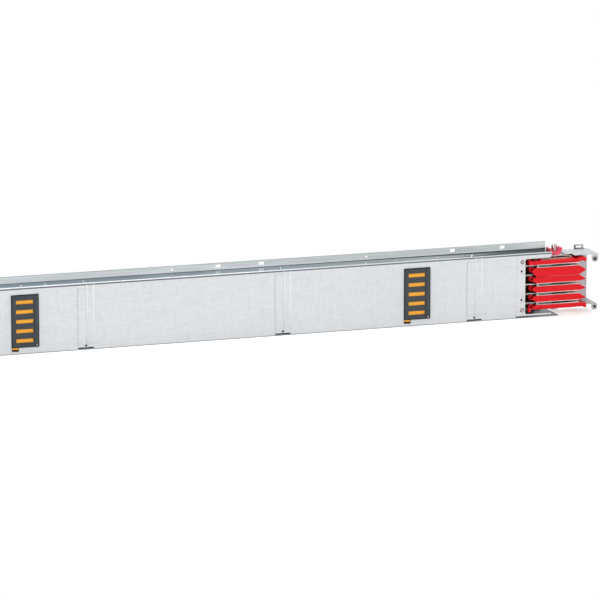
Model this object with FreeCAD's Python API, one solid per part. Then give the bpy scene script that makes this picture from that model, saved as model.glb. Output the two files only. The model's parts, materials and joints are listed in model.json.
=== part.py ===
import FreeCAD, Part
import math
import os

# Busway section: five flat conductor bars in a slim sheet-steel casing, with two shuttered
# tap-off outlets and an open bolted joint at one end.
# X runs along the section towards the joint, Y from front (negative) to back, Z up.
# The origin is on the bottom face, midway between the centres of the two end joints.
# All lengths are in millimetres.

# Driving dimensions of the casing
section_length = 2000.0
casing_height = 164.0
casing_depth = 75.0
sheet = 1.5

# Driving dimensions of the conductors
bar_count = 5
bar_margin = 34.8
bar_thick = 5.0
bar_wide = 42.0
bar_end_gap = 13.0
bar_drop = 1.5
bar_forward = 5.0

# Places along the section, all measured back from the joint centre
outlet_to_joint = 377.0
outlet_pitch = 1000.0
outlet_count = 2
rib_to_joint = 224.0
rib_pitch = 500.0
rib_count = 4
seam_to_joint = 114.0
notch_to_joint = 89.0
rail_to_joint = 18.5
back_to_joint = 36.0
cover_screw_to_joint = 97.0
strip_round = 8.0

# Top rail
rail_sheet = 1.5
rail_lip_drop = 3.5
rail_lip_thick = 1.2
rail_web_behind_front = 48.0
rail_web_high = 17.5
rail_web_thick = 3.0
rail_hole_wide = 14.0
rail_hole_high = 9.0
rail_hole_lift = 4.5
rail_slot_wide = 6.0
rail_slot_high = 6.0
rail_hole_to_end = (133.0, 265.0)
rail_hole_to_joint = (763.0, 874.0)
rail_slot_to_joint = 491.0
rail_slot_pitch = 501.0
rail_bend = 1.0

# Ribs pressed in the plates, and the tongue and pin of each bar support
rib_wide = 40.0
rib_step = 17.0
rib_proud = 1.2
rib_margin = 13.0
tongue_long = 38.0
tongue_high = 3.2
tongue_z = 4.0
pin_z = 9.8
pin_radius = 2.6
play = 0.2
leg_top = 5.2
comb_gap = 0.3
comb_half = 16.0

# Outlets
frame_wide = 67.0
frame_margin = 36.0
frame_left = 32.0
frame_proud = 3.0
frame_strip = 11.0
frame_strip_proud = 1.0
window_wide = 43.0
window_high = 9.6
front_wall = 2.0
housing_deep = 5.5
cover_edge = 2.0
shutter_thick = 1.6
shutter_play = 0.1
rung_high = 10.8
shutter_travel = 10.4
tab_wide = 14.0
tab_inset = 1.4
tab_drop = 5.2
tab_slot_drop = 9.3

# Joint pack
flat_half = 57.0
tip_half = 76.0
contact_thick = 1.5
contact_deep = 56.0
contact_play = 0.2
pack_behind_front = 3.0
pack_deep = 66.0
hole_play = 0.15
nose_wall = 2.3
nose_rim = 6.0
nose_lift = 4.0
pocket_deep = 2.5
lip_thick = 1.3
lip_gap = 0.7
nose_deep = 26.0
cap_high = 9.5
bottom_cap_extra = 1.5
beak_high = 4.5
sleeve_radius = 9.0
bolt_radius = 6.0
plate_half_long = 46.0
plate_half_deep = 18.0
plate_thick = 3.0
spring_half = 40.0
spring_half_deep = 15.0
spring_thick = 2.5
spring_rise = 4.2
saddle_half = 17.5
saddle_half_deep = 12.0
saddle_high = 16.5
saddle_seat = 7.0
saddle_foot_half = 10.0
cradle_radius = 13.0
collar_high = 2.0
head_across = 15.0
head_high = 17.5
nut_across = 19.0
nut_high = 4.5

# Joint channel behind the pack
arm_to_joint = 105.0
arm_wide = 24.0
channel_back = 110.0
channel_top_drop = 12.5
channel_bottom = 23.0
flange_from_joint = 24.0
flange_full_from_joint = 42.0
flange_near_y = -18.0
strip_near_y = 22.0
ear_radius = 8.5
ear_drop = 3.0
hook_from_joint = 69.5
hook_wide = 25.5
hook_high = 10.4
hook_rim = 5.0
hook_bar = 2.7
hook_foot = 9.0

# Screws
screw_margin = 21.0
small_hole_share = 0.22
small_hole_to_joint = 99.0
screw_radius = 2.5
screw_head_radius = 5.0
screw_head_high = 2.6
screw_long = 9.0
small_hole_radius = 2.0

# Values that follow from the driving dimensions
joint_x = section_length / 2
left_joint_x = -section_length / 2
front_y = -casing_depth / 2
back_y = casing_depth / 2
inner_y = casing_depth / 2 - sheet
mid_z = casing_height / 2 - 1
axis_z = casing_height / 2 - bar_drop
bar_y = -bar_forward
bar_pitch = (casing_height - 2 * bar_margin) / (bar_count - 1)
frame_high = casing_height - frame_margin
frame_low = mid_z - frame_high / 2
channel_top = casing_height - channel_top_drop
screw_rows = [screw_margin - 1, casing_height - screw_margin - 1]
ear_rows = [z - ear_drop for z in screw_rows]
small_hole_rows = [mid_z - small_hole_share * casing_height, mid_z + small_hole_share * casing_height]
seam_x = joint_x - seam_to_joint
notch_x = joint_x - notch_to_joint
rail_end_x = joint_x - rail_to_joint
back_end_x = joint_x - back_to_joint
left_end_x = left_joint_x + notch_to_joint
plate_top = casing_height - rail_sheet
slot_high = bar_thick + 2 * contact_thick
barrier_high = bar_pitch - slot_high
pack_front = front_y + pack_behind_front
pack_back = pack_front + pack_deep
bar_zs = [axis_z + bar_pitch * (i - (bar_count - 1) / 2) for i in range(bar_count)]
outlet_xs = [joint_x - outlet_to_joint - outlet_pitch * i for i in range(outlet_count)][::-1]
rib_xs = [joint_x - rib_to_joint - rib_pitch * i for i in range(rib_count)][::-1]
cap_top = bar_zs[-1] + slot_high / 2 + cap_high
cap_bottom = bar_zs[0] - slot_high / 2 - cap_high - bottom_cap_extra


def box(x0, x1, y0, y1, z0, z1):
    return Part.makeBox(x1 - x0, y1 - y0, z1 - z0, FreeCAD.Vector(x0, y0, z0))


def rod(x, y, z, radius, length, axis=(0, 0, 1)):
    return Part.makeCylinder(radius, length, FreeCAD.Vector(x, y, z), FreeCAD.Vector(*axis))


def side_shape(points, y0, y1):
    """Solid with an outline of (x, z) points, drawn in the front view, from y0 to y1."""
    corners = [FreeCAD.Vector(x, y0, z) for x, z in points]
    wire = Part.makePolygon(corners + corners[:1])
    return Part.Face(wire).extrude(FreeCAD.Vector(0, y1 - y0, 0))


def hexagon(x, y, across, z0, z1):
    corner = across / math.sqrt(3)
    turns = [math.radians(60 * i) for i in range(6)]
    corners = [FreeCAD.Vector(x + corner * math.cos(t), y + corner * math.sin(t), z0) for t in turns]
    wire = Part.makePolygon(corners + corners[:1])
    return Part.Face(wire).extrude(FreeCAD.Vector(0, 0, z1 - z0))


def joined(solids):
    whole = solids[0]
    for solid in solids[1:]:
        whole = whole.fuse(solid)
    return whole.removeSplitter()


def less(solid, cutters):
    for cutter in cutters:
        solid = solid.cut(cutter)
    return solid


def save(name, shape):
    if shape.ShapeType == "Compound" and len(shape.Solids) == 1:
        shape = shape.Solids[0]
    if len(shape.Solids) != 1 or not shape.isValid():
        raise ValueError(name + " is not one sound solid")
    shape.exportStep("parts/" + name + ".step")


# Casing

def rib_marks(side):
    """Slots for the tongues of the bar supports, and in front the holes for their pins."""
    near = front_y - 2 if side < 0 else inner_y - sheet - 1
    far = -inner_y + sheet + 1 if side < 0 else back_y + 2
    cutters = []
    for x in rib_xs:
        half = tongue_long / 2 + play
        low = tongue_z - tongue_high / 2 - play
        cutters.append(box(x - half, x + half, near, far, low, low + tongue_high + 2 * play))
        if side < 0:
            cutters.append(rod(x, near, pin_z, pin_radius + play, far - near, (0, 1, 0)))
    return cutters


def side_plate(side, x_end):
    """Tall sheet with a folded edge under the top rail and shallow pressed ribs."""
    near, far = (front_y, -inner_y) if side < 0 else (inner_y, back_y)
    fold_near, fold_far = (front_y, -inner_y + 12) if side < 0 else (inner_y - 12, back_y)
    sheets = [
        box(left_end_x, x_end, near, far, sheet, plate_top),
        box(left_end_x, x_end, fold_near, fold_far, plate_top - sheet, plate_top),
    ]
    for x in rib_xs:
        left = x - rib_wide / 2
        split = left + rib_wide - rib_step
        right = x + rib_wide / 2
        top = casing_height - rib_margin
        outer = front_y - rib_proud if side < 0 else back_y
        lower = front_y - rib_proud / 2 if side < 0 else back_y
        sheets.append(box(left, split, outer, outer + rib_proud, rib_margin, top))
        sheets.append(box(split, right, lower, lower + rib_proud / 2, rib_margin, top))
    plate = joined(sheets)
    screw_x = left_joint_x + cover_screw_to_joint
    holes = [rod(screw_x, near - 1, z, screw_radius, sheet + 2, (0, 1, 0)) for z in screw_rows]
    return less(plate, holes + rib_marks(side))


def outlet_opening(x):
    left = x - frame_left + frame_strip / 2
    right = x - frame_left + frame_wide - frame_strip / 2
    low = frame_low + cover_edge
    lifted = bar_zs[-1] + rung_high / 2 + shutter_travel + 0.3
    high = max(frame_low + frame_high - cover_edge, lifted)
    return box(left, right, front_y - 2, -inner_y + 0.01, low, high)


def tab_opening(x):
    left = x - frame_left + 1
    rise = frame_low + cover_edge + tab_drop + shutter_travel
    return box(left, left + tab_wide + 1, front_y - 2, -inner_y + sheet + 0.01,
               frame_low - tab_slot_drop, rise)


def front_plate():
    plate = side_plate(-1, seam_x)
    cutters = []
    for x in outlet_xs:
        cutters.append(outlet_opening(x))
        cutters.append(tab_opening(x))
    return less(plate, cutters)


def back_plate():
    return side_plate(1, back_end_x)


def top_rail():
    web_y = front_y + rail_web_behind_front
    half = rail_web_thick / 2
    rail = joined([
        box(left_end_x, rail_end_x, front_y, back_y, plate_top, casing_height),
        box(left_end_x, rail_end_x, front_y - rail_lip_thick, front_y,
            casing_height - rail_lip_drop, casing_height),
        box(left_end_x, rail_end_x, back_y, back_y + rail_lip_thick,
            casing_height - rail_lip_drop, casing_height),
        box(left_end_x, rail_end_x, web_y - half, web_y + half,
            casing_height, casing_height + rail_web_high),
    ])
    bends = [edge for edge in rail.Edges
             if edge.BoundBox.XLength > 100 and edge.BoundBox.ZMin > casing_height - 0.1
             and edge.BoundBox.ZMax < casing_height + 0.1 and edge.BoundBox.YMin ** 2 > back_y ** 2]
    rail = rail.makeFillet(rail_bend, bends)
    base = casing_height + rail_hole_lift
    hole_xs = [joint_x - offset for offset in rail_hole_to_end + rail_hole_to_joint]
    hole_xs += [left_joint_x + offset for offset in rail_hole_to_end]
    cutters = [rail_hole(x, rail_hole_wide, base, rail_hole_high) for x in hole_xs]
    slot_x = joint_x - rail_slot_to_joint
    while slot_x > left_end_x + 2 * rail_slot_wide:
        cutters.append(rail_hole(slot_x, rail_slot_wide, base, rail_slot_high))
        slot_x -= rail_slot_pitch
    return less(rail, cutters)


def rail_hole(x, wide, base, high):
    web_y = front_y + rail_web_behind_front
    near = web_y - rail_web_thick
    far = web_y + rail_web_thick
    return box(x - wide / 2, x + wide / 2, near, far, base, base + high)


def bottom_channel():
    """Floor with two low legs inside the plates, reaching under the open joint."""
    floor_end = joint_x + 1
    foot = 2.8
    solids = [
        box(left_end_x, floor_end, front_y, back_y, 0, sheet),
        box(left_end_x, seam_x, -inner_y, -inner_y + sheet, 0, leg_top),
        box(left_end_x, rail_end_x, inner_y - sheet, inner_y, 0, leg_top),
        box(seam_x, floor_end, front_y, -inner_y + sheet, 0, foot),
    ]
    return less(joined(solids), rib_marks(-1) + rib_marks(1))


def strip_ends(plate, z):
    """Edges across the sheet at the free end of a strip, at one height."""
    return [edge for edge in plate.Edges
            if edge.BoundBox.XMin > rail_end_x - 0.01 and edge.BoundBox.YLength > sheet - 0.1
            and abs(edge.BoundBox.ZMin - z) < 0.01]


def end_plate():
    """C-shaped front plate round the open joint, flush with the front plate."""
    low = 4.8
    notch_low = 9.0
    notch_high = casing_height - 15.0
    corner = 5.0
    strip_end = rail_end_x
    sheet_far = -inner_y
    whole = box(seam_x, strip_end, front_y, sheet_far, low, plate_top)
    notch = box(notch_x, strip_end + strip_round, front_y - 1, sheet_far + 1, notch_low,
                notch_high)
    edges = [edge for edge in notch.Edges
             if edge.BoundBox.XMax < notch_x + 0.01 and edge.BoundBox.YLength > sheet]
    notch = notch.makeFillet(corner, edges)
    plate = whole.cut(notch)
    tongue = box(seam_x - 20, seam_x + 8, sheet_far, sheet_far + sheet, 14, plate_top - 5)
    plate = joined([plate, tongue])
    plate = plate.makeFillet(strip_round, strip_ends(plate, notch_high))
    plate = plate.makeFillet(1.8, strip_ends(plate, plate_top) + strip_ends(plate, notch_low))
    cutters = []
    screw_x = joint_x - cover_screw_to_joint
    for z in screw_rows:
        cutters.append(rod(screw_x, front_y - 1, z, screw_radius, 5, (0, 1, 0)))
    hole_x = joint_x - small_hole_to_joint
    for z in small_hole_rows:
        cutters.append(rod(hole_x, front_y - 1, z, small_hole_radius, 5, (0, 1, 0)))
    return less(plate, cutters)


# Conductors and their supports

def bar(z):
    start = left_joint_x + bar_end_gap
    end = joint_x - bar_end_gap
    solid = box(start, end, bar_y - bar_wide / 2, bar_y + bar_wide / 2,
                z - bar_thick / 2, z + bar_thick / 2)
    edges = [edge for edge in solid.Edges if edge.BoundBox.YLength > bar_wide - 1]
    return solid.makeChamfer(0.8, edges)


def bar_support(x):
    """Moulded comb whose slots hold the bars, keyed in both plates, with a pin in front."""
    half = comb_half
    wall = inner_y - sheet - comb_gap
    block = box(x - half, x + half, -wall, wall, sheet, plate_top - sheet - 2)
    slots = [box(x - half - 1, x + half + 1, -wall - 1, bar_y + bar_wide / 2,
                 z - bar_thick / 2, z + bar_thick / 2) for z in bar_zs]
    comb = less(block, slots)
    low = tongue_z - tongue_high / 2
    reach = inner_y + sheet - 0.5
    tongue = box(x - tongue_long / 2, x + tongue_long / 2, -reach, reach, low, low + tongue_high)
    pin = rod(x, -reach, pin_z, pin_radius, reach, (0, 1, 0))
    return joined([comb, tongue, pin])


# Outlets

def outlet_frame(x):
    """Moulded frame with five plug windows and a flat pocket for the shutter behind them."""
    left = x - frame_left
    right = left + frame_wide
    low = frame_low
    high = frame_low + frame_high
    face = front_y - frame_proud
    margin = frame_strip / 2 + 0.3
    body_low = low + cover_edge + 0.3
    body_high = high - cover_edge - 0.3
    solids = [
        box(left, right, face, front_y, low, high),
        box(right - frame_strip, right, face - frame_strip_proud, face, low, high),
        box(left + margin, right - margin, front_y, front_y + housing_deep, body_low, body_high),
    ]
    frame = joined(solids)
    edges = [edge for edge in frame.Edges
             if edge.BoundBox.YLength > frame_proud - 0.1 and edge.BoundBox.YMax < front_y + 0.01
             and (edge.BoundBox.XMax < left + 0.01 or edge.BoundBox.XMin > right - 0.01)]
    frame = frame.makeFillet(2.0, edges)
    cutters = []
    for z in bar_zs:
        cutters.append(box(x - window_wide / 2, x + window_wide / 2, face - 2,
                           front_y + housing_deep + 1, z - window_high / 2, z + window_high / 2))
    pocket_near = face + front_wall
    pocket_far = pocket_near + shutter_thick + 2 * shutter_play
    pocket_left = left + margin + 1
    pocket_right = x + window_wide / 2 + 4.5
    pocket_low = bar_zs[0] - rung_high / 2 - 1
    pocket_high = bar_zs[-1] + rung_high / 2 + shutter_travel + 0.3
    cutters.append(box(pocket_left, pocket_right, pocket_near, pocket_far, pocket_low, pocket_high))
    foot_top = low + cover_edge + tab_drop + shutter_travel
    tab_left = left + tab_inset
    cutters.append(box(tab_left - play, tab_left + tab_wide + play, pocket_near, pocket_far,
                       low - 1, max(foot_top, pocket_low + 1)))
    return less(frame, cutters)


def shutter(x):
    """Ladder-shaped slide: five rungs behind the windows and a tab below the frame."""
    left = x - frame_left
    low = frame_low
    near = front_y - frame_proud + front_wall + shutter_play
    far = near + shutter_thick
    margin = frame_strip / 2 + 0.3
    rail_left = left + margin + 1.2
    rail_right = x + window_wide / 2 + 4.3
    post_left = x - window_wide / 2 - 1
    post_right = x + window_wide / 2 + 1
    foot = bar_zs[0] - rung_high / 2
    top = bar_zs[-1] + rung_high / 2
    tab_left = left + tab_inset
    tab_top = low + cover_edge + tab_drop
    solids = [
        box(rail_left, post_left, near, far, low - tab_drop, top),
        box(post_right, rail_right, near, far, foot, top),
        box(tab_left, tab_left + tab_wide, near, far, low - tab_drop, tab_top - 0.3),
    ]
    for z in bar_zs:
        solids.append(box(rail_left, rail_right, near, far, z - rung_high / 2, z + rung_high / 2))
    return joined(solids)


# Joint pack

def barrier_outline(z, high):
    half = high / 2
    return [(joint_x - tip_half, z + nose_lift), (joint_x - flat_half, z + half),
            (joint_x + flat_half, z + half), (joint_x + tip_half, z - nose_lift),
            (joint_x + flat_half, z - half), (joint_x - flat_half, z - half)]


def bolt_hole(z0, z1, radius):
    return rod(joint_x, bar_y, z0 - 1, radius + hole_play, z1 - z0 + 2)


def barrier(z, lip_low=None):
    """Moulded insulator between two bars, with pointed noses at the front and back corners."""
    half = barrier_high / 2
    nosed = side_shape(barrier_outline(z, barrier_high), pack_front, pack_back)
    gap = box(joint_x - tip_half - 1, joint_x + tip_half + 1, pack_front + nose_deep,
              pack_back - nose_deep, z - half - 1, z + half + 1)
    middle = box(joint_x - flat_half, joint_x + flat_half, pack_front + nose_deep - 1,
                 pack_back - nose_deep + 1, z - half, z + half)
    solids = [nosed.cut(gap), middle]
    if lip_low is not None:
        outline = [(joint_x - flat_half, lip_low), (joint_x + flat_half, lip_low),
                   (joint_x + tip_half, z - nose_lift), (joint_x - tip_half, z + nose_lift)]
        solids.append(side_shape(outline, pack_front, pack_front + lip_thick))
    solid = joined(solids)
    pockets = [nose_pocket(end, near, z) for end in (-1, 1)
               for near in (pack_front, pack_back - nose_deep)]
    return less(solid, pockets + [bolt_hole(z - half, z + half, sleeve_radius)])


def nose_pocket(end, near, z, lift=nose_lift):
    """Shallow hollow in the sloping upper face of a nose."""
    half = barrier_high / 2
    inner = flat_half + 1
    outer = tip_half - nose_rim
    tip = z - end * lift
    slope = (z + half - tip) / (tip_half - flat_half)
    floor_inner = tip + slope * (tip_half - inner) - pocket_deep
    floor_outer = tip + slope * (tip_half - outer) - pocket_deep
    outline = [(inner, floor_inner), (outer, floor_outer), (outer, z + half + 1),
               (inner, z + half + 1)]
    corners = [(joint_x + end * x, height) for x, height in outline]
    return side_shape(corners, near + nose_wall, near + nose_deep - nose_wall)


def top_cap():
    """Upper insulator with small lugs and a raised beak at the open end."""
    low = bar_zs[-1] + slot_high / 2
    beak = cap_top + beak_high
    left = -tip_half - 2
    outline = [(left, low), (left, cap_top), (flat_half - 7, cap_top), (flat_half + 1, beak),
               (tip_half - 6, beak), (tip_half, beak - 4.5), (tip_half, low + 1),
               (flat_half + 7, low + 4), (flat_half - 7, low)]
    cap = side_shape([(joint_x + x, z) for x, z in outline], pack_front, pack_back)
    lugs = [box(joint_x + x, joint_x + x + wide, pack_front, pack_front + 8,
                cap_top - 1, cap_top + tall)
            for x, wide, tall in ((left, 4, 5.5), (8 - flat_half, 6, 4.5), (flat_half - 20, 5, 3))]
    middle_gap = box(joint_x + flat_half, joint_x + tip_half + 1, pack_front + nose_deep,
                     pack_back - nose_deep, low - 1, beak + 1)
    return less(joined([cap] + lugs), [middle_gap, bolt_hole(low, cap_top, sleeve_radius)])


def bottom_cap():
    """Lower insulator with a leg at the casing end and a foot at the open end."""
    high = bar_zs[0] - slot_high / 2
    low = cap_bottom
    outline = [(-tip_half, high - barrier_high / 2), (-flat_half, high), (flat_half, high),
               (tip_half + 1, high - 3), (tip_half + 1, low), (-flat_half, low)]
    cap = side_shape([(joint_x + x, z) for x, z in outline], pack_front, pack_back)
    leg = box(joint_x - tip_half - 3, joint_x - tip_half + 4, pack_front, pack_front + 6,
              low - 5.5, low + 6)
    foot = box(joint_x + tip_half - 6, joint_x + tip_half + 1, pack_front, pack_front + 14,
               low - 2.5, low + 1)
    pocket = nose_pocket(-1, pack_front, high - barrier_high / 2, 0)
    return less(joined([cap, leg, foot]), [pocket, bolt_hole(low, high, sleeve_radius)])


def contact(z0):
    near = pack_front + lip_thick + contact_play
    solid = box(joint_x - flat_half, joint_x + flat_half, near, near + contact_deep,
                z0, z0 + contact_thick)
    return solid.cut(bolt_hole(z0, z0 + contact_thick, sleeve_radius))


def pressure_plate(z0):
    solid = box(joint_x - plate_half_long, joint_x + plate_half_long, bar_y - plate_half_deep,
                bar_y + plate_half_deep, z0, z0 + plate_thick)
    edges = [edge for edge in solid.Edges if edge.BoundBox.ZLength > plate_thick - 0.1]
    solid = solid.makeChamfer(4.0, edges)
    return solid.cut(bolt_hole(z0, z0 + plate_thick, bolt_radius))


def arched(half, z_end, rise, thick, y_half):
    """Strip bent to an arc in the front view."""
    def point(x, z):
        return FreeCAD.Vector(joint_x + x, bar_y - y_half, z)
    under = Part.Arc(point(-half, z_end), point(0, z_end + rise), point(half, z_end))
    over = Part.Arc(point(half, z_end + thick), point(0, z_end + rise + thick),
                    point(-half, z_end + thick))
    right = Part.LineSegment(point(half, z_end), point(half, z_end + thick))
    left = Part.LineSegment(point(-half, z_end + thick), point(-half, z_end))
    wire = Part.Wire([under.toShape(), right.toShape(), over.toShape(), left.toShape()])
    return Part.Face(wire).extrude(FreeCAD.Vector(0, 2 * y_half, 0))


def spring_plate(z0):
    strip = arched(spring_half, z0, spring_rise, spring_thick, spring_half_deep)
    return strip.cut(bolt_hole(z0, z0 + spring_rise + spring_thick, bolt_radius))


def saddle(z0):
    """Cradle with two horns under the bolt head, bedded on the arch of the spring plate."""
    crown = z0 + spring_rise + spring_thick
    seat = crown + saddle_seat
    near = bar_y - saddle_half_deep
    deep = 2 * saddle_half_deep
    axis = crown + saddle_half
    bowl = rod(joint_x, near, axis, saddle_half, deep, (0, 1, 0))
    foot = box(joint_x - saddle_foot_half, joint_x + saddle_foot_half, near, near + deep,
               crown - 3, crown + 3)
    above = box(joint_x - saddle_half - 1, joint_x + saddle_half + 1, near - 1, near + deep + 1,
                crown + saddle_high, axis + saddle_half + 1)
    hollow = rod(joint_x, near - 1, axis, cradle_radius, deep + 2, (0, 1, 0))
    over_seat = box(joint_x - saddle_half, joint_x + saddle_half, near - 1, near + deep + 1,
                    seat, axis + saddle_half)
    arch = arched(spring_half, z0 - 6, spring_rise, spring_thick + 6, spring_half_deep + 1)
    head_room = rod(joint_x, bar_y, seat, head_across / math.sqrt(3) + 0.5, saddle_half)
    return less(joined([bowl, foot]), [above, hollow.common(over_seat), arch, head_room,
                                       bolt_hole(crown - 3, seat, bolt_radius)])


def joint_bolt(z_seat):
    end = cap_bottom - plate_thick - nut_high - 1
    shank = rod(joint_x, bar_y, end, bolt_radius, z_seat - end)
    collar = rod(joint_x, bar_y, z_seat, head_across / 2, collar_high)
    head = hexagon(joint_x, bar_y, head_across, z_seat + collar_high, z_seat + head_high)
    return joined([shank, collar, head])


def bolt_sleeve(z0, z1):
    outer = rod(joint_x, bar_y, z0, sleeve_radius, z1 - z0)
    return outer.cut(bolt_hole(z0, z1, bolt_radius))


def bolt_nut(z1):
    nut = hexagon(joint_x, bar_y, nut_across, z1 - nut_high, z1)
    return nut.cut(bolt_hole(z1 - nut_high, z1, bolt_radius))


# Joint channel

def ear(z_screw, z_arm):
    """Rounded tab bent towards the cover screw at the near end of an arm."""
    x = joint_x + cover_screw_to_joint
    disc = rod(x, front_y, z_screw, ear_radius, sheet, (0, 1, 0))
    above = box(x - ear_radius - 1, x + ear_radius + 1, front_y - 1, front_y + 3,
                z_arm, z_screw + 2 * ear_radius + z_arm)
    web = box(x - ear_radius, x + ear_radius, front_y, -inner_y, z_screw, z_arm)
    return joined([disc.cut(above), web])


def joint_channel():
    """Far side of the open joint, with a stepped top flange and two arms."""
    wall_near = inner_y - sheet
    arm_end = joint_x + arm_to_joint
    arm_start = arm_end - arm_wide
    top = channel_top
    under = channel_top - sheet
    start = joint_x - channel_back
    step = joint_x + flange_from_joint
    full = joint_x + flange_full_from_joint
    solids = [
        box(start, arm_end, wall_near, inner_y, channel_bottom, top),
        box(start, arm_end, strip_near_y, inner_y, under, top),
        box(step, arm_end, flange_near_y, inner_y, under, top),
        box(full, arm_end, front_y, inner_y, under, top),
        box(arm_start, arm_end, front_y, inner_y, channel_bottom, channel_bottom + sheet),
        ear(ear_rows[0], channel_bottom + sheet),
        ear(ear_rows[1], top),
    ]
    screw_x = joint_x + cover_screw_to_joint
    holes = [rod(screw_x, front_y - 1, z, screw_radius, 4, (0, 1, 0)) for z in ear_rows]
    return less(joined(solids), holes)


def cover_hook():
    """Upright loop on the channel's top flange, with a foot that lies on the flange."""
    left = joint_x + hook_from_joint
    right = left + hook_wide
    near = inner_y - sheet
    loop = box(left, right, near, inner_y, channel_top, channel_top + hook_high)
    foot = box(left, right, inner_y - hook_foot, inner_y, channel_top, channel_top + 1.2)
    window = box(left + hook_rim, right - hook_rim, near - 1, inner_y + 1,
                 channel_top + hook_bar, channel_top + hook_high - hook_bar)
    return less(joined([loop, foot]), [window])


# Fasteners

def cover_screw(x, z):
    """Screw that will hold the joint cover, with its head clear of the plate's face."""
    head = rod(x, front_y - screw_head_high, z, screw_head_radius, screw_head_high, (0, 1, 0))
    shank = rod(x, front_y, z, screw_radius, screw_long, (0, 1, 0))
    return joined([head, shank])


def save_casing():
    save("front_plate", front_plate())
    save("back_plate", back_plate())
    save("top_rail", top_rail())
    save("bottom_channel", bottom_channel())
    save("end_plate", end_plate())
    save("joint_channel", joint_channel())
    save("cover_hook", cover_hook())


def save_conductors():
    for i, z in enumerate(bar_zs):
        save("conductor_bar_%d" % (i + 1), bar(z))
    for i, x in enumerate(rib_xs):
        save("bar_support_%d" % (i + 1), bar_support(x))


def save_outlets():
    for i, x in enumerate(outlet_xs):
        save("outlet_frame_%d" % (i + 1), outlet_frame(x))
        save("outlet_shutter_%d" % (i + 1), shutter(x))


def save_joint_pack():
    for i in range(bar_count - 1):
        z = (bar_zs[i] + bar_zs[i + 1]) / 2
        lipped = i == bar_count - 2
        lip_low = z - bar_pitch + barrier_high / 2 + lip_gap if lipped else None
        save("barrier_%d" % (i + 1), barrier(z, lip_low))
    save("top_insulator", top_cap())
    save("bottom_insulator", bottom_cap())
    for i, z in enumerate(bar_zs):
        save("contact_lower_%d" % (i + 1), contact(z - slot_high / 2))
        save("contact_upper_%d" % (i + 1), contact(z + bar_thick / 2))
    save("pressure_plate_top", pressure_plate(cap_top))
    save("pressure_plate_bottom", pressure_plate(cap_bottom - plate_thick))
    spring_foot = cap_top + plate_thick
    save("spring_plate", spring_plate(spring_foot))
    save("bolt_saddle", saddle(spring_foot))
    save("joint_bolt", joint_bolt(spring_foot + spring_rise + spring_thick + saddle_seat))
    save("bolt_sleeve", bolt_sleeve(cap_bottom, cap_top))
    save("bolt_nut", bolt_nut(cap_bottom - plate_thick))


def save_fasteners():
    number = 1
    for x, rows in ((joint_x - cover_screw_to_joint, screw_rows),
                    (joint_x + cover_screw_to_joint, ear_rows)):
        for z in rows:
            save("cover_screw_%d" % number, cover_screw(x, z))
            number += 1


os.makedirs("parts", exist_ok=True)
save_casing()
save_conductors()
save_outlets()
save_joint_pack()
save_fasteners()
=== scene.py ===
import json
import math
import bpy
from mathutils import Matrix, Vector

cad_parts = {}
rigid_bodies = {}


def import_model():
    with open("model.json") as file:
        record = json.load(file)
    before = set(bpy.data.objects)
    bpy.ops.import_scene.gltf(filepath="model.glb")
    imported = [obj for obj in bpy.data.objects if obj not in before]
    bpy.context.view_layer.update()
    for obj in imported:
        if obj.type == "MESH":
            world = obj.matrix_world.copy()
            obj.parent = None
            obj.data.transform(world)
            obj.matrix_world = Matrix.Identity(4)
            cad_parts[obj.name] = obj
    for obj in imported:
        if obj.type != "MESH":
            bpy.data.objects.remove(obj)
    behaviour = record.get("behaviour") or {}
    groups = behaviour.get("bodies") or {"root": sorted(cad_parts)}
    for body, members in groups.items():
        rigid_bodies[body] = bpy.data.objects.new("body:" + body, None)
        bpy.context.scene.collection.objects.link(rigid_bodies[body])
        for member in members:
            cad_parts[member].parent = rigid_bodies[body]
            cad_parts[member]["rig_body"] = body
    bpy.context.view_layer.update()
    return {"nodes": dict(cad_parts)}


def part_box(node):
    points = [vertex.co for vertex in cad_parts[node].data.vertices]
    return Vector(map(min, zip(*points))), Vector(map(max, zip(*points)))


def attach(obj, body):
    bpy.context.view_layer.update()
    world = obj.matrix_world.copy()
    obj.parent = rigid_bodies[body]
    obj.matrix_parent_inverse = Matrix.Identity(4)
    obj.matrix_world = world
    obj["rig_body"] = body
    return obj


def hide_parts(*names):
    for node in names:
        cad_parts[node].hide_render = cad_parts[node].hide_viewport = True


bl_info = {
    "name": "Busway section",
    "version": (1, 0, 0),
    "blender": (4, 5, 0),
    "location": "View3D > Sidebar > Busway",
    "description": "Finishes and small fittings of a busway section with an open bolted joint",
    "category": "Object",
}

import bmesh
import bpy
from mathutils import Matrix, Vector

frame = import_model()
MM = 0.001
FORWARD = (0, -1, 0)


def srgb(red, green, blue):
    """Linear colour from the 0 to 255 values that a colour is usually given in."""
    def linear(value):
        value = value / 255
        return value / 12.92 if value <= 0.04045 else ((value + 0.055) / 1.055) ** 2.4
    return (linear(red), linear(green), linear(blue))


def box_middle(node):
    low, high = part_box(node)
    return (low + high) / 2


# Places that the finishes and fittings take from the frame
web_high = 17.5 * MM
web_behind_front = 46.5 * MM
rail_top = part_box("top_rail")[1].z
front_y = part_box("end_plate")[0].y
bolt_low, bolt_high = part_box("joint_bolt")
joint_x = (bolt_low.x + bolt_high.x) / 2
bolt_y = (bolt_low.y + bolt_high.y) / 2
flange_z = rail_top - web_high
web_front = front_y + web_behind_front
bar_low, bar_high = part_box("conductor_bar_1")
bar_pitch = box_middle("conductor_bar_2").z - box_middle("conductor_bar_1").z
rib_x = box_middle("bar_support_4").x
rib_pitch = 500 * MM
dimple_deep = 0.65 * MM


# Settings

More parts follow.
